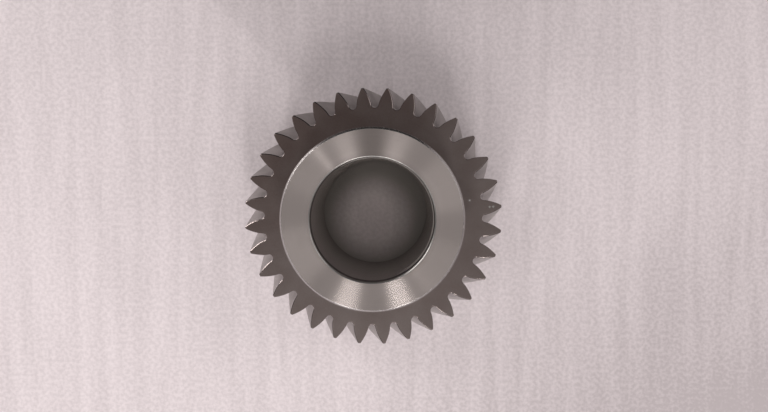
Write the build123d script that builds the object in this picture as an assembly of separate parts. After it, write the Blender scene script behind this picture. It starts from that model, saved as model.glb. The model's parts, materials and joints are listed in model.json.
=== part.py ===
from build123d import *
import os
from math import acos, atan, atan2, cos, degrees, pi, radians, sin, tan

# Helical gear: a right-hand toothed disc with a tall hub on one side and a plain ground bore.
# It is one forging, so it is one solid. The origin is on the bore's axis at the lower hub face,
# +Z points towards the tall hub, and a tooth gap is centred on +X at the lower end of the teeth.
# All lengths are in millimetres and all angles in degrees, unless a line says radians.

# Teeth
teeth = 32
normal_module = 4.05
pressure_angle = 20.0  # in the section square to a tooth
helix_angle = 20.0  # at the pitch circle, right hand
addendum_factor = 1.43  # of the module: the teeth are deep ones
dedendum_factor = 1.41
face_width = 35.0
tooth_end_chamfer = 0.4  # deburred edge all round both ends of the teeth
tip_edge_chamfer = 0.25  # broken corner along both edges of every tip

# Hubs and bore
bore_diameter = 68.0
bore_chamfer = 0.6
hub_diameter = 101.0
upper_hub_height = 17.0
lower_hub_height = 2.5
hub_edge_chamfer = 1.2
corner_slope = 1.5  # width of the 45 degree corner where the tall hub rises from the disc

# Dents of a hardness tester's diamond cone on the upper side of the disc
dent_width = 1.2
dent_cone_angle = 120.0
tooth_dent_offsets = (-1.2, 0.9)  # outwards from the pitch circle, on the tooth beside +X
disc_dent_offset = 6.2  # outwards from the tall hub's wall
disc_dent_angle = 9.8

# Tooth proportions in the section square to the axis
transverse_pressure_angle = atan(tan(radians(pressure_angle)) / cos(radians(helix_angle)))  # radians
pitch_radius = teeth * normal_module / cos(radians(helix_angle)) / 2
base_radius = pitch_radius * cos(transverse_pressure_angle)
tip_radius = pitch_radius + addendum_factor * normal_module
root_radius = pitch_radius - dedendum_factor * normal_module
tooth_pitch = 360 / teeth
twist_per_mm = degrees(tan(radians(helix_angle)) / pitch_radius)

# Radii and heights of the disc, hubs and bore
hub_radius = hub_diameter / 2
bore_radius = bore_diameter / 2
lower_face = lower_hub_height
upper_face = lower_face + face_width
total_height = upper_face + upper_hub_height

FLANK_FLATS = 4  # narrow strips that make up one involute flank, within 0.03 mm of the curve
ROOT_FLATS = 6  # narrow strips that make up the round bottom of each gap, within 0.06 mm of the arc
CLEAR = 0.2  # how far a tool or a joined piece reaches past the face that it meets


def involute(angle):
    """Polar angle of the involute where its pressure angle is this one, both in radians."""
    return tan(angle) - angle


def gap_half_angle(radius, relief):
    """Half of the angle, in radians, that a tooth gap spans at a radius.

    An involute moved square to itself by relief is the same involute turned by relief / base_radius.
    """
    profile_angle = acos(min(1.0, base_radius / radius))
    standard = pi / (2 * teeth) + involute(profile_angle) - involute(transverse_pressure_angle)
    return standard + relief / base_radius


def polar(radius, angle):
    """Point at a radius and an angle in radians."""
    return Vector(radius * cos(angle), radius * sin(angle))


def gap_bottom(relief):
    """Point where the round bottom of a gap runs into its upper flank.

    The bottom is one arc that touches the root circle and both flanks.
    """
    floor = root_radius - relief
    start = gap_half_angle(base_radius, relief)
    arc_radius = floor * sin(start) / (1 - sin(start))
    foot = (floor + arc_radius) * cos(start)
    if foot < base_radius:  # the arc ends on the straight foot of the tooth, below the involute
        return polar(foot, start)
    low, high = start, pi / 3
    for _ in range(50):
        angle = (low + high) / 2
        if base_radius / cos(angle) < floor + base_radius * (involute(angle) + start):
            low = angle
        else:
            high = angle
    meeting_radius = base_radius / cos(atan(angle - start))
    return polar(meeting_radius, gap_half_angle(meeting_radius, relief))


def gap_points(relief):
    """Corners of one tooth gap, in order from its lower tip corner to its upper one, centred on +X.

    relief is how far the gap is widened and deepened into the metal.
    """
    floor = root_radius - relief
    foot = gap_bottom(relief)
    arc_radius = ((foot.X - floor) ** 2 + foot.Y**2) / (foot.X - floor) / 2
    half_turn = atan2(foot.Y, floor + arc_radius - foot.X)
    turns = [half_turn * (2 * i / ROOT_FLATS - 1) for i in range(1, ROOT_FLATS)]
    bottom = [Vector(floor + arc_radius * (1 - cos(turn)), arc_radius * sin(turn)) for turn in turns]

    flank_start = max(foot.length, base_radius)
    flank_end = tip_radius - relief - tip_edge_chamfer
    step = (flank_end - flank_start) / FLANK_FLATS
    radii = [flank_start + step * i for i in range(FLANK_FLATS + 1)]
    upper_side = [polar(radius, gap_half_angle(radius, relief)) for radius in radii]
    if foot.length < base_radius:
        upper_side.insert(0, foot)
    tip_angle = gap_half_angle(flank_end, relief) + tip_edge_chamfer / tip_radius
    upper_side.append(polar(tip_radius - relief, tip_angle))
    lower_side = [Vector(point.X, -point.Y) for point in reversed(upper_side)]
    return lower_side + bottom + upper_side


def toothed_outline(relief, height):
    """Closed outline of all the teeth at a height, turned by the helix."""
    gap = gap_points(relief)
    next_corner = gap[0].rotate(Axis.Z, tooth_pitch)
    land = ThreePointArc(gap[-1], polar(tip_radius - relief, pi / teeth), next_corner)
    start_turn = (height - lower_face) * twist_per_mm
    places = [Pos(0, 0, height) * Rot(0, 0, start_turn + i * tooth_pitch) for i in range(teeth)]
    return Wire([place * edge for place in places for edge in (*Polyline(*gap).edges(), land)])


def toothed_disc():
    """The disc with its teeth: a twisted band between two thin ends that are chamfered all round.

    The three stages share their outlines, so their walls close into one solid.
    """
    band_start = lower_face + tooth_end_chamfer
    band_height = face_width - 2 * tooth_end_chamfer
    lower_rim = toothed_outline(tooth_end_chamfer, lower_face)
    band_bottom = toothed_outline(0, band_start)
    band_top = toothed_outline(0, band_start + band_height)
    upper_rim = toothed_outline(tooth_end_chamfer, upper_face)

    centre = (0, 0, band_start)
    rise = (0, 0, band_height)
    band = Solid.extrude_linear_with_rotation(Face(band_bottom), centre, rise, band_height * twist_per_mm)
    lower_end = Solid.make_loft([lower_rim, band_bottom], ruled=True)
    upper_end = Solid.make_loft([band_top, upper_rim], ruled=True)

    walls = [Face(lower_rim), Face(upper_rim)]
    for stage in (lower_end, band, upper_end):
        walls += stage.faces().filter_by(GeomType.PLANE, reverse=True)
    return Solid(Shell(walls))


def hubs():
    """Both hubs as one turned spindle through the disc, with a sloped corner under the tall one."""
    outline = Polyline(
        (0, 0),
        (hub_radius - hub_edge_chamfer, 0),
        (hub_radius, hub_edge_chamfer),
        (hub_radius, upper_face - corner_slope),
        (hub_radius + corner_slope + CLEAR, upper_face - CLEAR),
        (hub_radius, upper_face + corner_slope),
        (hub_radius, total_height - hub_edge_chamfer),
        (hub_radius - hub_edge_chamfer, total_height),
        (0, total_height),
        close=True,
    )
    return revolve(Plane.XZ * make_face(outline), Axis.Z)


def bore():
    """Boring tool: the bore with a chamfered mouth at both ends."""
    mouth = bore_radius + bore_chamfer + CLEAR
    outline = Polyline(
        (0, -CLEAR),
        (mouth, -CLEAR),
        (bore_radius, bore_chamfer),
        (bore_radius, total_height - bore_chamfer),
        (mouth, total_height + CLEAR),
        (0, total_height + CLEAR),
        close=True,
    )
    return revolve(Plane.XZ * make_face(outline), Axis.Z)


def dents():
    """Diamond cones that leave two dents on one tooth and one on the disc."""
    slope = tan(radians(dent_cone_angle / 2))
    depth = dent_width / 2 / slope
    height = depth + CLEAR
    cone = Cone(0, height * slope, height, align=(Align.CENTER, Align.CENTER, Align.MIN))
    tooth_angle = (face_width * twist_per_mm + tooth_pitch / 2) % tooth_pitch
    places = [(pitch_radius + offset, tooth_angle) for offset in tooth_dent_offsets]
    places.append((hub_radius + disc_dent_offset, disc_dent_angle))
    return [Rot(0, 0, angle) * Pos(radius, 0, upper_face - depth) * cone for radius, angle in places]


def helical_gear():
    """The finished gear: toothed disc and hubs, bored, then tested for hardness."""
    return toothed_disc() + hubs() - bore() - dents()


os.makedirs("parts", exist_ok=True)
gear = helical_gear()
gear.label = "helical_gear"
export_step(gear, "parts/helical_gear.step")
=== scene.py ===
import json
import logging
from collections.abc import Callable, Iterable, Mapping, Sequence
from dataclasses import dataclass, field
from enum import Enum
from math import acos, atan, atan2, cos, degrees, hypot, pi, radians, sin, tan
from typing import Any

import bmesh
import bpy
from mathutils import Matrix, Vector


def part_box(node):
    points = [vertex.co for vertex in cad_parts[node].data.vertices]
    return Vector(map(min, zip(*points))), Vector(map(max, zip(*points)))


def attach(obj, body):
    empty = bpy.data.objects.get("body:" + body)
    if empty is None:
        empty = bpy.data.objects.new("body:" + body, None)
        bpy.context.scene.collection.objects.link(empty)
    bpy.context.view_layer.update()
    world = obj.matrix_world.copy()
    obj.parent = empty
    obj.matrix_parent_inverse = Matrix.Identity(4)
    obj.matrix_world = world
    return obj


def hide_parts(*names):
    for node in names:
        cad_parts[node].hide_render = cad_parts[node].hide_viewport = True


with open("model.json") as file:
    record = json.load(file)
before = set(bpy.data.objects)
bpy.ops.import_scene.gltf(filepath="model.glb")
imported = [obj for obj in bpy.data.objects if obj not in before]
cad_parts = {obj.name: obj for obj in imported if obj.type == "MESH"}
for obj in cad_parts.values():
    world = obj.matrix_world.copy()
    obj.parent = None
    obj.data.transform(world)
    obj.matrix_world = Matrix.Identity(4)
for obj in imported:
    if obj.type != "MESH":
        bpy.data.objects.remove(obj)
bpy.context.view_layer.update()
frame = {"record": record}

# Helical gear: one forging, toothed, turned, hardened and ground. The mesh here has the same sizes as
# the solid and adds what is too fine for it: softened edges, turning marks, grain and the dents' bright
# metal. All lengths are in metres and all angles in radians. +Z is the bore's axis.

log = logging.getLogger("helical_gear")

MM = 0.001
GEAR_NODE = "helical_gear"
MERGE_DISTANCE = 0.002 * MM
FLAT = 0.95  # upward share of a face's direction, above which the face counts as level
UPRIGHT = 0.45  # and below which it counts as upright
NOISE_SPAN = (0.3, 0.7)  # the values that nearly all of a noise pattern lies between


class Zone(Enum):
    """The differently finished zones of the gear, in the order of its material slots."""

    SIDE = "hardened_side"
    FLANK = "ground_flank"
    TIP = "tip_land"
    HUB_FACE = "turned_hub_face"
    HUB_WALL = "turned_hub_wall"
    BORE = "ground_bore"
    MOUTH = "bore_mouth"
    EDGE = "hub_edge"
    TOOTH_EDGE = "tooth_end_edge"
    DENT = "tester_dent"


class End(Enum):
    """One of the gear's two ends, with the sign of its outward direction along Z."""

    LOWER = -1
    UPPER = 1


# Edit-mode tools

def deselect_everything() -> None:
    """Leaves no object selected."""
    if bpy.context.mode != "OBJECT":
        bpy.ops.object.mode_set(mode="OBJECT")
    bpy.ops.object.select_all(action="DESELECT")


def start_mesh(name: str) -> bpy.types.Object:
    """Adds an empty mesh object at the origin and opens it in edit mode.

    Args:
        name: Name of the new object.

    Returns:
        The new object, which is the active one.
    """
    deselect_everything()
    bpy.ops.mesh.primitive_plane_add(size=1.0)
    piece = bpy.context.object
    piece.name = name
    bpy.ops.object.mode_set(mode="EDIT")
    bpy.ops.mesh.delete(type="VERT")
    return piece


def draw_chain(points: Sequence[Vector]) -> None:
    """Draws a chain of joined vertices in the mesh that is being edited.

    Args:
        points: Places of the vertices, in order.
    """
    bpy.ops.mesh.select_all(action="DESELECT")
    bpy.ops.mesh.primitive_plane_add(size=MM, location=points[0])
    bpy.ops.mesh.merge(type="CENTER")
    for start, end in zip(points, points[1:]):
        bpy.ops.mesh.extrude_region_move(TRANSFORM_OT_translate={"value": end - start})


def select_where(piece: bpy.types.Object, test: Callable[[Vector], bool]) -> None:
    """Selects the vertices that pass a test, and the edges and faces between them.

    Args:
        piece: Object that is being edited.
        test: Says whether a place is wanted.
    """
    bpy.ops.mesh.select_all(action="DESELECT")
    cage = bmesh.from_edit_mesh(piece.data)
    for vertex in cage.verts:
        vertex.select = test(vertex.co)
    cage.select_flush(True)
    bmesh.update_edit_mesh(piece.data)


def at_level(*levels: float) -> Callable[[Vector], bool]:
    """Makes a test for places at any of these heights."""
    return lambda place: any(abs(place.z - level) < MERGE_DISTANCE for level in levels)


def on_ring(radius: float, level: float) -> Callable[[Vector], bool]:
    """Makes a test for places on one ring about the Z axis."""
    near = 2 * MERGE_DISTANCE
    return lambda place: abs(place.z - level) < near and abs(hypot(place.x, place.y) - radius) < near


def merge_doubles() -> None:
    """Merges the vertices that coincide and turns all faces outwards."""
    bpy.ops.mesh.select_all(action="SELECT")
    bpy.ops.mesh.remove_doubles(threshold=MERGE_DISTANCE)
    bpy.ops.mesh.normals_make_consistent(inside=False)


def apply_modifier(piece: bpy.types.Object, kind: str, **settings: Any) -> None:
    """Adds a modifier to an object and applies it.

    Args:
        piece: Object that gets the modifier, in object mode.
        kind: Blender's name of the modifier's type.
        **settings: The modifier's own settings.
    """
    deselect_everything()
    piece.select_set(True)
    bpy.context.view_layer.objects.active = piece
    modifier = piece.modifiers.new(kind.lower(), kind)
    for name, value in settings.items():
        setattr(modifier, name, value)
    bpy.ops.object.modifier_apply(modifier=modifier.name)


# The gear's geometry

@dataclass(frozen=True)
class ToothForm:
    """Involute teeth in the section square to the gear's axis."""

    count: int = 32
    normal_module: float = 4.05 * MM
    pressure_angle: float = radians(20.0)
    helix_angle: float = radians(20.0)
    addendum_factor: float = 1.43
    dedendum_factor: float = 1.41
    tip_edge_chamfer: float = 0.25 * MM
    flank_steps: int = 9
    root_steps: int = 12

    @property
    def transverse_angle(self) -> float:
        """Pressure angle in the section square to the axis."""
        return atan(tan(self.pressure_angle) / cos(self.helix_angle))

    @property
    def pitch_radius(self) -> float:
        """Radius of the pitch circle."""
        return self.count * self.normal_module / cos(self.helix_angle) / 2

    @property
    def base_radius(self) -> float:
        """Radius of the involute's base circle."""
        return self.pitch_radius * cos(self.transverse_angle)

    @property
    def tip_radius(self) -> float:
        """Radius of the circle round the tips."""
        return self.pitch_radius + self.addendum_factor * self.normal_module

    @property
    def root_radius(self) -> float:
        """Radius of the circle that the bottoms of the gaps touch."""
        return self.pitch_radius - self.dedendum_factor * self.normal_module

    @property
    def pitch_angle(self) -> float:
        """Angle from one tooth to the next."""
        return 2 * pi / self.count

    @property
    def twist_per_length(self) -> float:
        """Turn of the section for each metre along the axis."""
        return tan(self.helix_angle) / self.pitch_radius

    def half_gap(self, radius: float, relief: float) -> float:
        """Works out half of the angle that a gap spans.

        Args:
            radius: Where it is measured.
            relief: How far the gap is widened into the metal.

        Returns:
            The angle from the gap's middle to its flank.
        """
        roll = acos(min(1.0, self.base_radius / radius))
        standard = self.transverse_angle
        even = pi / (2 * self.count) + (tan(roll) - roll) - (tan(standard) - standard)
        return even + relief / self.base_radius

    def bottom(self, relief: float) -> list[Vector]:
        """Draws the round bottom of a gap, an arc that touches the root circle and both flanks.

        Args:
            relief: How far the gap is deepened into the metal.

        Returns:
            Points from the lower flank to the upper one.
        """
        floor = self.root_radius - relief
        start = self.half_gap(self.base_radius, relief)
        low, high = start, pi / 3
        for _ in range(50):
            angle = (low + high) / 2
            arc_side = floor + self.base_radius * (tan(angle) - angle + start)
            low, high = (angle, high) if self.base_radius / cos(angle) < arc_side else (low, angle)
        radius = self.base_radius / cos(atan(angle - start))
        turn = self.half_gap(radius, relief)
        foot = Vector((radius * cos(turn), radius * sin(turn), 0))
        arc_radius = ((foot.x - floor) ** 2 + foot.y**2) / (foot.x - floor) / 2
        half = atan2(foot.y, floor + arc_radius - foot.x)
        turns = [half * (2 * i / self.root_steps - 1) for i in range(self.root_steps + 1)]
        return [Vector((floor + arc_radius * (1 - cos(t)), arc_radius * sin(t), 0)) for t in turns]

    def outline(self, relief: float) -> list[Vector]:
        """Draws one gap with half a tip land on each side of it, centred on +X.

        Args:
            relief: How far the outline is moved into the metal.

        Returns:
            Points from the middle of one land to the middle of the next.
        """
        bottom = self.bottom(relief)
        foot_radius = bottom[-1].length
        tip = self.tip_radius - relief
        flank_end = tip - self.tip_edge_chamfer
        step = (flank_end - foot_radius) / self.flank_steps
        radii = [foot_radius + step * (i + 1) for i in range(self.flank_steps)]
        polar = [(radius, self.half_gap(radius, relief)) for radius in radii]
        polar.append((tip, polar[-1][1] + self.tip_edge_chamfer / self.tip_radius))
        polar.append((tip, self.pitch_angle / 2))
        upper = [Vector((radius * cos(turn), radius * sin(turn), 0)) for radius, turn in polar]
        lower = [Vector((point.x, -point.y, 0)) for point in reversed(upper)]
        return lower + bottom + upper


@dataclass
class ToothedDisc:
    """The ring of teeth with both of its flat sides, open towards the hubs."""

    form: ToothForm
    lower_face: float
    upper_face: float
    end_chamfer: float = 0.4 * MM
    rim_below_root: float = 1.1 * MM
    twist_steps: int = 18
    softening: tuple[tuple[float, float], ...] = ((0.08, 0.92), (0.92, 0.08), (1.25, 0.0))

    @property
    def rim_radius(self) -> float:
        """Radius of the open rim inside the teeth."""
        return self.form.root_radius - self.rim_below_root

    def turned(self, points: Sequence[Vector], level: float) -> list[Vector]:
        """Moves an outline up to a height and turns it by the helix.

        Args:
            points: Outline at the height of the lower face.
            level: Height that it goes to.

        Returns:
            The moved points.
        """
        twist = Matrix.Rotation((level - self.lower_face) * self.form.twist_per_length, 4, "Z")
        return [twist @ point + Vector((0, 0, level)) for point in points]

    def finish_end(self, piece: bpy.types.Object, end: End) -> None:
        """Adds the chamfer and the flat side to one end of the wall of a gap.

        Args:
            piece: Mesh that is being edited.
            end: Which end of the teeth it is.
        """
        face = self.upper_face if end is End.UPPER else self.lower_face
        last_depth, last_relief = self.softening[-1][0] * self.end_chamfer, 0.0
        for relief_share, depth_share in self.softening:
            relief, depth = relief_share * self.end_chamfer, depth_share * self.end_chamfer
            level = face - end.value * depth
            draw_chain(self.turned(self.form.outline(relief), level))
            select_where(piece, at_level(level, face - end.value * last_depth))
            bpy.ops.mesh.bridge_edge_loops()
            last_depth, last_relief = depth, relief
        inner = [point.normalized() * self.rim_radius for point in self.form.outline(last_relief)]
        draw_chain(self.turned(inner, face))
        select_where(piece, at_level(face))
        bpy.ops.mesh.bridge_edge_loops()

    def build(self) -> bpy.types.Object:
        """Models one gap, twists it along the helix and repeats it round the axis.

        Returns:
            The ring of teeth.
        """
        wall_margin = self.softening[-1][0] * self.end_chamfer
        wall_start = self.lower_face + wall_margin
        wall_height = self.upper_face - wall_margin - wall_start
        piece = start_mesh("toothed_disc")
        draw_chain(self.turned(self.form.outline(0.0), wall_start))
        bpy.ops.object.mode_set(mode="OBJECT")
        apply_modifier(
            piece, "SCREW", axis="Z", angle=wall_height * self.form.twist_per_length,
            screw_offset=wall_height, steps=self.twist_steps, render_steps=self.twist_steps,
            use_merge_vertices=False,
        )
        bpy.ops.object.mode_set(mode="EDIT")
        for end in End:
            self.finish_end(piece, end)
        bpy.ops.mesh.select_all(action="SELECT")
        bpy.ops.mesh.spin(
            steps=self.form.count, dupli=True, angle=2 * pi, center=(0, 0, 0), axis=(0, 0, 1)
        )
        merge_doubles()
        bpy.ops.object.mode_set(mode="OBJECT")
        return piece


@dataclass
class TurnedBody:
    """Both hubs, the bore and the inner part of the disc's sides, as the lathe leaves them."""

    rim_radius: float
    bore_radius: float
    lower_face: float
    upper_face: float
    height: float
    hub_radius: float = 50.5 * MM
    hub_chamfer: float = 1.2 * MM
    bore_chamfer: float = 0.6 * MM
    upper_fillet: float = 1.6 * MM
    lower_fillet: float = 0.6 * MM
    edge_softness: float = 0.14 * MM
    steps: int = 320

    def profile(self) -> list[Vector]:
        """Draws half of the section, from the rim over the hubs and through the bore.

        Returns:
            Points in the plane of X and Z.
        """
        mouth = self.bore_radius + self.bore_chamfer
        shoulder = self.hub_radius - self.hub_chamfer
        corners = (
            (self.rim_radius, self.upper_face),
            (self.hub_radius, self.upper_face),
            (self.hub_radius, self.height - self.hub_chamfer),
            (shoulder, self.height),
            (mouth, self.height),
            (self.bore_radius, self.height - self.bore_chamfer),
            (self.bore_radius, self.bore_chamfer),
            (mouth, 0.0),
            (shoulder, 0.0),
            (self.hub_radius, self.hub_chamfer),
            (self.hub_radius, self.lower_face),
            (self.rim_radius, self.lower_face),
        )
        return [Vector((radius, 0, level)) for radius, level in corners]

    def round_off(self, piece: bpy.types.Object, corner: Vector, width: float, segments: int) -> None:
        """Rounds the ring-shaped edge that runs through a corner of the profile.

        Args:
            piece: Mesh that is being edited.
            corner: The corner in the plane of X and Z.
            width: How far the rounding reaches from the edge.
            segments: How many strips it has.
        """
        select_where(piece, on_ring(corner.x, corner.z))
        bpy.ops.mesh.bevel(offset=width, segments=segments, affect="EDGES")

    def build(self) -> bpy.types.Object:
        """Spins the profile about the axis and rounds its corners.

        Returns:
            The turned body, open at its rim.
        """
        piece = start_mesh("turned_body")
        profile = self.profile()
        draw_chain(profile)
        bpy.ops.mesh.select_all(action="SELECT")
        bpy.ops.mesh.spin(steps=self.steps, angle=2 * pi, center=(0, 0, 0), axis=(0, 0, 1))
        merge_doubles()
        fillets = {1: (self.upper_fillet, 6), 10: (self.lower_fillet, 3)}
        for index in range(1, len(profile) - 1):
            width, segments = fillets.get(index, (self.edge_softness, 2))
            self.round_off(piece, profile[index], width, segments)
        merge_doubles()
        bpy.ops.object.mode_set(mode="OBJECT")
        return piece


@dataclass
class TesterDents:
    """The three dents that a hardness tester left in the upper side: two on a tooth, one on the disc."""

    form: ToothForm
    upper_face: float
    face_width: float
    hub_radius: float
    width: float = 1.3 * MM
    cone_angle: float = radians(125.0)
    tooth_offsets: tuple[float, float] = (-1.2 * MM, 0.9 * MM)
    disc_offset: float = 6.2 * MM
    disc_angle: float = radians(9.8)

    def places(self) -> list[Vector]:
        """Finds the middle of each dent on the upper side.

        Returns:
            The middles, the tooth's first.
        """
        gap_turn = self.face_width * self.form.twist_per_length + self.form.pitch_angle / 2
        tooth_angle = gap_turn % self.form.pitch_angle
        polar = [(self.form.pitch_radius + offset, tooth_angle) for offset in self.tooth_offsets]
        polar.append((self.hub_radius + self.disc_offset, self.disc_angle))
        return [Vector((r * cos(turn), r * sin(turn), self.upper_face)) for r, turn in polar]

    def holds(self, place: Vector) -> bool:
        """Says whether a place is inside one of the dents."""
        return any((place - middle).length < self.width * 0.52 for middle in self.places())

    def press_into(self, piece: bpy.types.Object) -> None:
        """Presses the tester's cone into the piece at each place.

        Args:
            piece: Closed mesh of the gear.
        """
        slope = tan(self.cone_angle / 2)
        depth = self.width / 2 / slope
        cone_height = 2 * depth
        for place in self.places():
            deselect_everything()
            bpy.ops.mesh.primitive_cone_add(
                vertices=20, radius1=0, radius2=cone_height * slope, depth=cone_height,
                location=place + Vector((0, 0, cone_height / 2 - depth)),
            )
            cone = bpy.context.object
            bpy.ops.object.transform_apply(location=True, rotation=True, scale=True)
            apply_modifier(piece, "BOOLEAN", object=cone, operation="DIFFERENCE", solver="EXACT")
            bpy.data.objects.remove(cone, do_unlink=True)


# Shader tools

class Signal:
    """A number in a shader that Python's operators work on by adding Math nodes."""

    def __init__(self, sheet: "ShaderSheet", socket: bpy.types.NodeSocket) -> None:
        """Wraps an output socket of a node on this sheet."""
        self.sheet = sheet
        self.socket = socket

    def math(self, operation: str, *others: "Signal | float", first: bool = True) -> "Signal":
        """Adds one Math node.

        Args:
            operation: Blender's name of the operation.
            *others: The other operands.
            first: Whether this signal is the first operand.

        Returns:
            The node's result.
        """
        operands = (self, *others) if first else (*others, self)
        sockets = dict(enumerate(operands))
        return self.sheet.node("ShaderNodeMath", {"operation": operation}, sockets)

    def __add__(self, other: "Signal | float") -> "Signal":
        """Sum."""
        return self.math("ADD", other)

    __radd__ = __add__

    def __sub__(self, other: "Signal | float") -> "Signal":
        """Difference."""
        return self.math("SUBTRACT", other)

    def __rsub__(self, other: float) -> "Signal":
        """Difference from a number."""
        return self.math("SUBTRACT", other, first=False)

    def __mul__(self, other: "Signal | float") -> "Signal":
        """Product."""
        return self.math("MULTIPLY", other)

    __rmul__ = __mul__

    def __truediv__(self, other: "Signal | float") -> "Signal":
        """Quotient."""
        return self.math("DIVIDE", other)

    def ramp(self, low: float, high: float) -> "Signal":
        """Rises smoothly from 0 at low to 1 at high.

        Args:
            low: Value that gives 0.
            high: Value that gives 1.

        Returns:
            The smooth step.
        """
        settings = {"interpolation_type": "SMOOTHSTEP"}
        return self.sheet.node("ShaderNodeMapRange", settings, {0: self, 1: low, 2: high})


    def band(self, stops: Sequence[float]) -> "Signal":
        """Rises smoothly to 1 and falls back to 0.

        Args:
            stops: Values where it starts, is full, starts to fall and ends.

        Returns:
            The band.
        """
        return self.ramp(*stops[:2]) * (1.0 - self.ramp(*stops[2:]))


class ShaderSheet:
    """A new material's node tree, with a Principled shader on it."""

    def __init__(self, name: str) -> None:
        """Starts the material.

        Args:
            name: The material's name.
        """
        self.material = bpy.data.materials.new(name)
        self.material.use_nodes = True
        self.tree = self.material.node_tree
        self.shader = next(n for n in self.tree.nodes if n.type == "BSDF_PRINCIPLED")

    def node(
        self, kind: str, settings: Mapping[str, Any] | None = None,
        sockets: Mapping[int | str, Any] | None = None, output: int | str = 0,
    ) -> Signal:
        """Adds a node.

        Args:
            kind: Blender's name of the node's type.
            settings: Its own settings, which are set first.
            sockets: Values or signals for its inputs, by index or name.
            output: The output that is wanted.

        Returns:
            That output's signal.
        """
        node = self.tree.nodes.new(kind)
        for name, value in (settings or {}).items():
            setattr(node, name, value)
        for key, value in (sockets or {}).items():
            self.feed(node.inputs[key], value)
        return Signal(self, node.outputs[output])

    def feed(self, socket: bpy.types.NodeSocket, value: Any) -> None:
        """Links a signal to a socket, or sets the socket's own value.

        Args:
            socket: The input.
            value: A signal, a number or a tuple.
        """
        if isinstance(value, Signal):
            self.tree.links.new(value.socket, socket)
        else:
            socket.default_value = value

    def place(self) -> Signal:
        """Place on the piece, in metres."""
        return self.node("ShaderNodeTexCoord", output="Object")

    def axis_parts(self) -> tuple[Signal, Signal, Signal]:
        """Splits the place on the piece.

        Returns:
            The distance from the gear's axis, the height, and the turn about the axis.
        """
        split = self.node("ShaderNodeSeparateXYZ", sockets={0: self.place()})
        x, y, z = (Signal(self, split.socket.node.outputs[i]) for i in range(3))
        radius = (x * x + y * y).math("SQRT")
        return radius, z, y.math("ARCTAN2", x)

    def flat_parts(self) -> tuple[Signal, Signal]:
        """Splits the place on the piece.

        Returns:
            The distances along X and along Y.
        """
        split = self.node("ShaderNodeSeparateXYZ", sockets={0: self.place()})
        return split, Signal(self, split.socket.node.outputs[1])

    def noise(self, scale: float, vector: Signal | None = None, detail: float = 2.0) -> Signal:
        """Adds a noise pattern.

        Args:
            scale: Blotches for each metre.
            vector: Where it is read, or the place on the piece.
            detail: How many finer layers it has.

        Returns:
            Values round 0.5.
        """
        sockets = {"Vector": vector or self.place(), "Scale": scale, "Detail": detail}
        return self.node("ShaderNodeTexNoise", sockets=sockets)

    def vector(self, x: Any, y: Any, z: Any) -> Signal:
        """Makes a vector of three numbers or signals."""
        return self.node("ShaderNodeCombineXYZ", sockets={0: x, 1: y, 2: z})

    def mix_colours(
        self, share: Signal, first: "Sequence[float] | Signal", second: "Sequence[float] | Signal",
    ) -> Signal:
        """Mixes two colours.

        Args:
            share: How much of the second colour there is.
            first: Colour at 0, or its signal.
            second: Colour at 1, or its signal.

        Returns:
            The mixed colour.
        """
        def rgba(colour: Any) -> Any:
            """Adds the alpha to a plain colour."""
            return colour if isinstance(colour, Signal) else (*colour, 1.0)

        settings = {"data_type": "RGBA"}
        sockets = {0: share, 6: rgba(first), 7: rgba(second)}
        return self.node("ShaderNodeMix", settings, sockets, output=2)

    def bump(self, height: Signal, depth: float) -> Signal:
        """Turns a height pattern into a normal.

        Args:
            height: Pattern from 0 to 1.
            depth: Real height in metres that a pattern value of 1 stands for.

        Returns:
            The normal.
        """
        sockets = {"Strength": 1.0, "Distance": depth, "Height": height}
        return self.node("ShaderNodeBump", sockets=sockets, output="Normal")

    def finish(self, **sockets: Any) -> bpy.types.Material:
        """Feeds the Principled shader.

        Args:
            **sockets: Values or signals, named as the shader's inputs with _ for a space.

        Returns:
            The finished material.
        """
        for name, value in sockets.items():
            self.feed(self.shader.inputs[name.replace("_", " ")], value)
        return self.material


# Finishes

@dataclass(frozen=True)
class HardenedSide:
    """Dark, matt, case-hardened steel of the disc's sides, with faint turning marks under the scale and
    painted shade towards one side.
    """

    dark: tuple[float, float, float] = (0.085, 0.056, 0.050)
    light: tuple[float, float, float] = (0.175, 0.147, 0.140)
    painted_shade_span: tuple[float, float] = (-0.02, 0.075)  # where the painted shade starts and where it is full
    painted_shade_turn: float = radians(120)  # direction in which the painted shade grows, from +X
    roughness: float = 0.50
    metallic: float = 0.55
    blotch: float = 60.0
    grain: float = 1500.0
    grain_depth: float = 0.012 * MM
    turning_pitch: float = 0.55 * MM
    cloud_share: float = 0.25
    grain_share: float = 0.35
    painted_shade_share: float = 0.45

    def make(self) -> bpy.types.Material:
        """Builds the material.

        Returns:
            The material.
        """
        sheet = ShaderSheet(Zone.SIDE.value)
        radius, _, _ = sheet.axis_parts()
        cloud = sheet.noise(self.blotch, detail=4.0)
        grain = sheet.noise(self.grain, detail=3.0)
        turning = (radius * (2 * pi / self.turning_pitch)).math("SINE") * 0.5 + 0.5
        across, along = sheet.flat_parts()
        # painted shade: the sides' colour grows darker and redder towards one side
        tint = across * cos(self.painted_shade_turn) + along * sin(self.painted_shade_turn)
        shade = cloud.ramp(*NOISE_SPAN) * self.cloud_share + grain * self.grain_share
        shade = shade + tint.ramp(*self.painted_shade_span) * self.painted_shade_share
        return sheet.finish(
            Base_Color=sheet.mix_colours(shade, self.light, self.dark),
            Metallic=self.metallic,
            Roughness=self.roughness + (grain - 0.5) * 0.12,
            Normal=sheet.bump(grain + turning * 0.15, self.grain_depth),
        )


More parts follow.
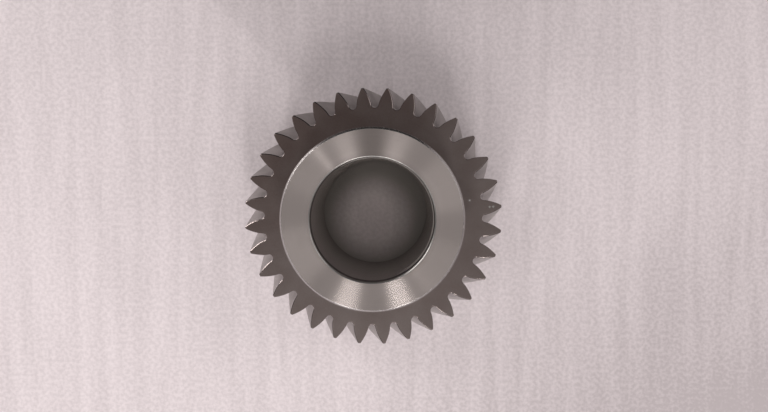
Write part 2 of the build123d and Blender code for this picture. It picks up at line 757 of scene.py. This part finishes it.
@dataclass(frozen=True)
class GroundFlank:
    """Bright ground steel of the flanks and gap bottoms, with fine marks along the tooth."""

    colour: tuple[float, float, float] = (0.40, 0.375, 0.365)
    shade: tuple[float, float, float] = (0.30, 0.28, 0.27)
    roughness: float = 0.38
    mark_pitch: float = 0.25 * MM
    mark_stretch: float = 12.0
    mark_depth: float = 0.003 * MM
    blotch: float = 90.0

    def make(self) -> bpy.types.Material:
        """Builds the material.

        Returns:
            The material.
        """
        sheet = ShaderSheet(Zone.FLANK.value)
        radius, height, _ = sheet.axis_parts()
        line = sheet.vector(radius / self.mark_pitch, height / (self.mark_stretch * self.mark_pitch), 0.0)
        marks = sheet.noise(1.0, line, detail=3.0)
        cloud = sheet.noise(self.blotch, detail=2.0)
        return sheet.finish(
            Base_Color=sheet.mix_colours(cloud.ramp(0.35, 0.75), self.colour, self.shade),
            Metallic=0.9,
            Roughness=self.roughness + (marks - 0.5) * 0.15,
            Normal=sheet.bump(marks, self.mark_depth),
        )


@dataclass(frozen=True)
class TurnedSteel:
    """Bright turned steel with concentric grooves that draw highlights out along the radius, and a painted
    dark reflection as a streak across it.
    """

    zone: Zone
    colour: tuple[float, float, float] = (0.685, 0.615, 0.59)
    painted_dark_reflection: tuple[float, float, float] = (0.05, 0.03, 0.02)
    painted_dark_reflection_share: float = 0.36
    painted_dark_reflection_turn: float = radians(90)  # direction of the painted dark reflection, a darker streak, from +X
    painted_dark_reflection_width: tuple[float, float] = (radians(2), radians(18))  # from its middle, full and gone
    roughness: float = 0.25
    anisotropy: float = 1.0
    ring_pitch: float = 0.9 * MM
    ring_depth: float = 0.0015 * MM
    blotch: float = 55.0

    def make(self) -> bpy.types.Material:
        """Builds the material.

        Returns:
            The material.
        """
        sheet = ShaderSheet(self.zone.value)
        radius, height, turn = sheet.axis_parts()
        rings = sheet.noise(1.0, sheet.vector(radius / self.ring_pitch, height / self.ring_pitch, 0.0), 4.0)
        cloud = sheet.noise(self.blotch, detail=3.0)
        tint = sheet.mix_colours(rings, tuple(0.90 * c for c in self.colour), self.colour)
        clouded = sheet.mix_colours(cloud.ramp(0.55, 0.8), tint, tuple(0.88 * c for c in self.colour))
        # painted dark reflection: a darker streak across the turned face
        streak = 1.0 - (turn - self.painted_dark_reflection_turn).math("ABSOLUTE").ramp(*self.painted_dark_reflection_width)
        return sheet.finish(
            Base_Color=sheet.mix_colours(streak * self.painted_dark_reflection_share, clouded, self.painted_dark_reflection),
            Metallic=1.0,
            Roughness=self.roughness + (rings - 0.5) * 0.06,
            Anisotropic=self.anisotropy,
            Anisotropic_Rotation=0.25,
            Normal=sheet.bump(rings, self.ring_depth),
        )


@dataclass(frozen=True)
class GroundBore:
    """Smooth ground wall of the bore, with painted shade on one side, a band of painted shade and a duller
    band below the upper mouth.
    """

    height: float
    colour: tuple[float, float, float] = (1.0, 0.945, 0.91)
    unlit_share: float = 0.46
    lit_side: tuple[float, float] = (-30 * MM, 30 * MM)  # along Y, where the wall is darkest and lightest
    dark: tuple[float, float, float] = (0.05, 0.045, 0.045)
    painted_shade_band: tuple[float, ...] = (0.8 * MM, 1.6 * MM, 4.4 * MM, 5.4 * MM)  # painted shade: depths below the mouth
    dull_band: tuple[float, ...] = (5.4 * MM, 6.2 * MM, 8.5 * MM, 11.0 * MM)
    roughness: float = 0.22
    dull_turn: float = radians(27.5)  # middle of the duller stretch, from +X
    dull_reach: tuple[float, float] = (radians(80), radians(98))  # from its middle, full and gone
    duller: float = 0.34
    mark_pitch: float = 0.3 * MM
    mark_depth: float = 0.0010 * MM

    def make(self) -> bpy.types.Material:
        """Builds the material.

        Returns:
            The material.
        """
        sheet = ShaderSheet(Zone.BORE.value)
        _, height, turn = sheet.axis_parts()
        off_middle = (turn - self.dull_turn).math("ABSOLUTE").ramp(*self.dull_reach)
        marks = sheet.noise(1.0, sheet.vector(height / self.mark_pitch, turn * 6.0, 0.0), detail=3.0)
        depth = self.height - height
        steel = sheet.mix_colours(marks, tuple(0.85 * c for c in self.colour), self.colour)
        # painted shade: the wall darker on one side
        unlit = 1.0 - sheet.flat_parts()[1].ramp(*self.lit_side)
        wall = sheet.mix_colours(unlit * self.unlit_share, steel, self.dark)
        dull = depth.band(self.dull_band) * (1.0 - off_middle)
        return sheet.finish(
            # painted shade: a black band just below the upper mouth
            Base_Color=sheet.mix_colours(depth.band(self.painted_shade_band), wall, self.dark),
            Metallic=1.0,
            Roughness=self.roughness + (marks - 0.5) * 0.10 + dull * self.duller,
            Normal=sheet.bump(marks, self.mark_depth),
        )


@dataclass(frozen=True)
class PlainSteel:
    """Bare steel of a narrow zone, such as a chamfer, a tip land or a dent."""

    zone: Zone
    colour: tuple[float, float, float]
    roughness: float
    metallic: float = 1.0
    fleck: float = 900.0

    def make(self) -> bpy.types.Material:
        """Builds the material.

        Returns:
            The material.
        """
        sheet = ShaderSheet(self.zone.value)
        flecks = sheet.noise(self.fleck, detail=2.0)
        return sheet.finish(
            Base_Color=sheet.mix_colours(flecks, tuple(0.8 * c for c in self.colour), self.colour),
            Metallic=self.metallic,
            Roughness=self.roughness + (flecks - 0.5) * 0.15,
        )


@dataclass(frozen=True)
class FoamSheet:
    """Pale packing foam that the gear stands on: mottled and faintly streaked, with painted shade inside
    the bore and towards the far corner.
    """

    light: tuple[float, float, float] = (0.84, 0.76, 0.785)
    dark: tuple[float, float, float] = (0.50, 0.445, 0.46)
    shaded: tuple[float, float, float] = (0.16, 0.15, 0.14)
    bore_shade: tuple[float, float] = (11 * MM, 34.5 * MM)  # radii where it starts and where it is full
    bore_limit: tuple[float, float] = (40 * MM, 44 * MM)  # radii under the gear where it ends
    lightest: tuple[float, float] = (-1.5 * MM, -5.0 * MM)  # the lightest place inside the bore
    cell: float = 420.0
    cell_depth: float = 0.12 * MM
    fold: float = 7.0
    streak: tuple[float, float] = (110.0, 9.0)  # for each metre, across and along
    cell_share: float = 0.33
    fold_share: float = 0.12
    streak_share: float = 0.18
    side_shade_share: float = 0.11
    corner_shade_share: float = 0.62
    shade_share: float = 0.49
    least_shade: float = 0.52

    def make(self) -> bpy.types.Material:
        """Builds the material.

        Returns:
            The material.
        """
        sheet = ShaderSheet("foam_sheet")
        radius, _, _ = sheet.axis_parts()
        across, along = sheet.flat_parts()
        cells = sheet.noise(self.cell, detail=3.0)
        folds = sheet.noise(self.fold, detail=2.0)
        lines = sheet.vector(across * self.streak[0], along * self.streak[1], 0.0)
        streaks = sheet.noise(1.0, lines, detail=2.0)
        mottle = cells.ramp(*NOISE_SPAN) * self.cell_share + folds.ramp(0.3, 0.75) * self.fold_share
        shade = mottle + streaks.ramp(*NOISE_SPAN) * self.streak_share
        # painted shade: the foam darker towards one side and towards the far corner
        painted_side_shade = (across - along).ramp(-0.1, 0.35) * self.side_shade_share
        painted_corner_shade = (across * 0.5 - along).ramp(0.06, 0.3) * self.corner_shade_share
        foam = sheet.mix_colours(shade + (painted_side_shade + painted_corner_shade), self.light, self.dark)
        # painted shade inside the bore, lightest off the axis and darkest towards the wall
        side, ahead = across - self.lightest[0], along - self.lightest[1]
        away = (side * side + ahead * ahead).math("SQRT")
        depth = away.ramp(*self.bore_shade) * self.shade_share + self.least_shade
        in_bore = depth * (1.0 - radius.ramp(*self.bore_limit))
        return sheet.finish(
            Base_Color=sheet.mix_colours(in_bore, foam, self.shaded),
            Roughness=0.75,
            Normal=sheet.bump(cells, self.cell_depth),
        )


def make_finishes(height: float) -> dict[Zone, bpy.types.Material]:
    """Makes the material of every zone.

    Args:
        height: The gear's height.

    Returns:
        Each zone's material, in the order of the slots.
    """
    finishes = {
        Zone.SIDE: HardenedSide(),
        Zone.FLANK: GroundFlank(),
        Zone.TIP: PlainSteel(Zone.TIP, (0.30, 0.28, 0.27), 0.40),
        Zone.HUB_FACE: TurnedSteel(Zone.HUB_FACE),
        Zone.HUB_WALL: PlainSteel(Zone.HUB_WALL, (0.42, 0.40, 0.39), 0.35),
        Zone.BORE: GroundBore(height),
        Zone.MOUTH: PlainSteel(Zone.MOUTH, (0.31, 0.295, 0.285), 0.34),
        Zone.EDGE: PlainSteel(Zone.EDGE, (0.44, 0.42, 0.41), 0.25),
        Zone.TOOTH_EDGE: PlainSteel(Zone.TOOTH_EDGE, (0.20, 0.17, 0.165), 0.20),
        Zone.DENT: PlainSteel(Zone.DENT, (0.60, 0.58, 0.56), 0.25),
    }
    return {zone: finishes[zone].make() for zone in Zone}


@dataclass
class HelicalGear:
    """The whole gear: toothed disc and turned body joined into one closed mesh."""

    form: ToothForm = field(default_factory=ToothForm)
    face_width: float = 35.0 * MM
    lower_hub_height: float = 2.5 * MM
    rim_gap: float = 1.4 * MM
    smooth_angle: float = radians(38.0)

    def __post_init__(self) -> None:
        """Takes the height and the bore from the frame and lays out the parts."""
        mounts = {mount["name"]: mount for mount in frame["record"]["mounts"]}
        self.bore_radius = mounts["bore"]["dims"]["r_mm"] * MM
        self.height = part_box(GEAR_NODE)[1].z
        self.lower_face = self.lower_hub_height
        self.upper_face = self.lower_face + self.face_width
        self.disc = ToothedDisc(self.form, self.lower_face, self.upper_face)
        self.body = TurnedBody(
            self.disc.rim_radius - self.rim_gap, self.bore_radius, self.lower_face, self.upper_face,
            self.height,
        )
        self.dents = TesterDents(self.form, self.upper_face, self.face_width, self.body.hub_radius)

    def build(self) -> bpy.types.Object:
        """Models the gear.

        Returns:
            The finished piece, which stands for the solid.
        """
        piece = self.joined(self.disc.build(), self.body.build())
        self.dents.press_into(piece)
        deselect_everything()
        piece.select_set(True)
        bpy.context.view_layer.objects.active = piece
        bpy.ops.object.shade_smooth_by_angle(angle=self.smooth_angle)
        apply_modifier(piece, "WEIGHTED_NORMAL", keep_sharp=True)
        return piece

    def joined(self, disc: bpy.types.Object, body: bpy.types.Object) -> bpy.types.Object:
        """Joins the toothed disc and the turned body, and closes the flat sides between them.

        Args:
            disc: The ring of teeth.
            body: The hubs and the bore.

        Returns:
            One closed mesh.
        """
        deselect_everything()
        body.select_set(True)
        disc.select_set(True)
        bpy.context.view_layer.objects.active = disc
        bpy.ops.object.join()
        disc.name = "gear_steel"
        bpy.ops.object.mode_set(mode="EDIT")
        for level in (self.lower_face, self.upper_face):
            cage = bmesh.from_edit_mesh(disc.data)
            bpy.ops.mesh.select_all(action="DESELECT")
            for edge in cage.edges:
                if edge.is_boundary and all(at_level(level)(vertex.co) for vertex in edge.verts):
                    edge.select_set(True)
            bmesh.update_edit_mesh(disc.data)
            bpy.ops.mesh.bridge_edge_loops()
        merge_doubles()
        bpy.ops.object.mode_set(mode="OBJECT")
        return disc

    def zone_of(self, middle: Vector, normal: Vector) -> Zone:
        """Says which zone a face belongs to.

        Args:
            middle: The face's middle.
            normal: The face's outward direction.

        Returns:
            The zone.
        """
        radius = hypot(middle.x, middle.y)
        hub, softness = self.body.hub_radius, self.body.edge_softness
        flat, upright = abs(normal.z) > FLAT, abs(normal.z) < UPRIGHT
        if abs(middle.z - self.upper_face) < self.dents.width and not flat and self.dents.holds(middle):
            return Zone.DENT
        if radius < self.bore_radius + 0.2 * softness and upright:
            return Zone.BORE
        if flat and (middle.z < 0.1 * softness or middle.z > self.height - 0.1 * softness):
            return Zone.HUB_FACE
        if radius < self.bore_radius + 2 * self.body.bore_chamfer:
            return Zone.MOUTH
        if radius < hub + self.body.upper_fillet:
            return Zone.HUB_WALL if radius > hub - 0.2 * softness else Zone.EDGE
        if flat:
            return Zone.SIDE
        if not upright:
            return Zone.TOOTH_EDGE
        radial = normal.x * middle.x + normal.y * middle.y
        outwards = radial / radius > 0.9
        near_tip = radius > self.form.tip_radius - self.form.tip_edge_chamfer
        return Zone.TIP if outwards and near_tip else Zone.FLANK

    def dress(self, piece: bpy.types.Object) -> None:
        """Gives every zone its finish and ties the piece to the frame.

        Args:
            piece: The modelled gear.
        """
        piece.data.materials.clear()
        finishes = make_finishes(self.height)
        for material in finishes.values():
            piece.data.materials.append(material)
        slots = {zone: index for index, zone in enumerate(finishes)}
        for face in piece.data.polygons:
            face.material_index = slots[self.zone_of(face.center, face.normal)]
        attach(piece, "root")
        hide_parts(GEAR_NODE)


# Floor, light and camera

@dataclass(frozen=True)
class Floor:
    """A plain pale floor under the gear."""

    size: float = 6.0

    def lay(self) -> bpy.types.Object:
        """Adds the floor.

        Returns:
            The floor.
        """
        deselect_everything()
        bpy.ops.mesh.primitive_plane_add(size=self.size)
        floor = bpy.context.object
        floor.name = "floor"
        floor.data.materials.append(FoamSheet().make())
        return floor


@dataclass(frozen=True)
class DarkCard:
    """A matt black card beyond the picture's top edge, which keeps light off and darkens reflections."""

    distance: float = 0.21
    width: float = 0.36
    height: float = 0.14

    def stand(self) -> bpy.types.Object:
        """Adds the card, which only reflections and shadows show.

        Returns:
            The card.
        """
        deselect_everything()
        bpy.ops.mesh.primitive_plane_add(size=1.0)
        bpy.ops.object.mode_set(mode="EDIT")
        bpy.ops.transform.resize(value=(self.width, self.height, 1.0))
        bpy.ops.transform.rotate(value=pi / 2, orient_axis="X", center_override=(0, 0, 0))
        bpy.ops.transform.translate(value=(0, self.distance, self.height / 2))
        bpy.ops.object.mode_set(mode="OBJECT")
        card = bpy.context.object
        card.name = "dark_card"
        card.visible_camera = False
        card.data.materials.append(ShaderSheet("black_card").finish(Base_Color=(0.01, 0.01, 0.01, 1.0)))
        return card


@dataclass(frozen=True)
class SoftBox:
    """A soft rectangular light that looks at the gear."""

    name: str
    azimuth: float  # from the photograph's top, clockwise, as seen from above
    elevation: float
    distance: float
    width: float
    height: float
    power: float
    tint: tuple[float, float, float] = (1.0, 0.97, 0.95)

    def hang(self) -> bpy.types.Object:
        """Adds the light.

        Returns:
            The light's object.
        """
        reach = self.distance * cos(self.elevation)
        bearing = pi / 2 - self.azimuth
        place = Vector((reach * cos(bearing), reach * sin(bearing), self.distance * sin(self.elevation)))
        lamp = bpy.data.lights.new(self.name, "AREA")
        lamp.shape = "RECTANGLE"
        lamp.size, lamp.size_y = self.width, self.height
        lamp.energy = self.power
        lamp.color = self.tint
        holder = bpy.data.objects.new(self.name, lamp)
        holder.location = place
        holder.rotation_euler = (-place).to_track_quat("-Z", "Y").to_euler()
        holder.visible_camera = False
        bpy.context.scene.collection.objects.link(holder)
        return holder


@dataclass(frozen=True)
class Studio:
    """The room's dim even light and its soft boxes."""

    room_colour: tuple[float, float, float] = (0.33, 0.315, 0.31)
    boxes: tuple[SoftBox, ...] = (
        SoftBox("window_right", radians(165), radians(26), 2.0, 0.36, 1.1, 17.0),
        SoftBox("window_left", radians(198), radians(26), 2.0, 0.38, 1.1, 15.0),
        SoftBox("wall_right", radians(70), radians(28), 2.2, 1.4, 0.8, 10.0),
        SoftBox("wall_lower_right", radians(130), radians(28), 2.2, 1.2, 0.8, 5.0),
        SoftBox("wall_lower_left", radians(240), radians(28), 2.2, 1.2, 0.8, 6.5),
        SoftBox("lamp_left", radians(300), radians(9), 1.2, 0.6, 0.16, 5.0),
        SoftBox("lamp_upper_left", radians(315), radians(30), 2.0, 0.08, 0.7, 4.5),
    )

    def light(self) -> None:
        """Lights the room."""
        world = bpy.data.worlds.new("room")
        bpy.context.scene.world = world
        world.use_nodes = True
        background = world.node_tree.nodes["Background"]
        background.inputs["Color"].default_value = (*self.room_colour, 1.0)
        background.inputs["Strength"].default_value = 1.0
        for box in self.boxes:
            box.hang()
        bpy.context.scene.view_settings.view_transform = "Standard"


@dataclass(frozen=True)
class Viewpoint:
    """The photograph's camera, almost straight above the gear."""

    place: Vector = Vector((8.5, 24.5, 279.5)) * MM
    roll: float = radians(0.02)
    tilt: float = radians(1.53)  # from straight down, towards the photograph's bottom
    sensor: float = 36.0
    focal_px: float = 417.7
    image_px: tuple[int, int] = (768, 412)
    principal_px: tuple[float, float] = (388.0, 185.9)

    def set_up(self) -> bpy.types.Object:
        """Adds the camera and makes it the scene's.

        Returns:
            The camera's object.
        """
        width, height = self.image_px
        camera = bpy.data.cameras.new("photo_camera")
        camera.sensor_width = self.sensor
        camera.lens = self.focal_px / width * self.sensor
        camera.shift_x = (width / 2 - self.principal_px[0]) / width
        camera.shift_y = (self.principal_px[1] - height / 2) / width
        camera.clip_start = 0.01
        right = Vector((cos(self.roll), sin(self.roll), 0))
        level_up = Vector((-sin(self.roll), cos(self.roll), 0))
        down = Vector((0, 0, -1))
        up = level_up * cos(self.tilt) + down * sin(self.tilt)
        backwards = level_up * sin(self.tilt) - down * cos(self.tilt)
        turn = Matrix((right, up, backwards)).transposed()
        holder = bpy.data.objects.new("photo_camera", camera)
        holder.matrix_world = Matrix.Translation(self.place) @ turn.to_4x4()
        bpy.context.scene.collection.objects.link(holder)
        bpy.context.scene.camera = holder
        return holder


def main() -> None:
    """Builds the camera, the gear, the floor, the card and the light, in that order."""
    logging.basicConfig(level=logging.INFO, format="%(name)s: %(message)s")
    Viewpoint().set_up()
    gear = HelicalGear()
    piece = gear.build()
    gear.dress(piece)
    piece.data.calc_loop_triangles()
    turn = degrees(gear.face_width * gear.form.twist_per_length)
    log.info("%s: %d triangles, teeth turn %.2f degrees", piece.name, len(piece.data.loop_triangles), turn)
    floor = Floor().lay()
    log.info("%s: laid", floor.name)
    card = DarkCard().stand()
    log.info("%s: stands", card.name)
    Studio().light()


if __name__ == "__main__":
    main()
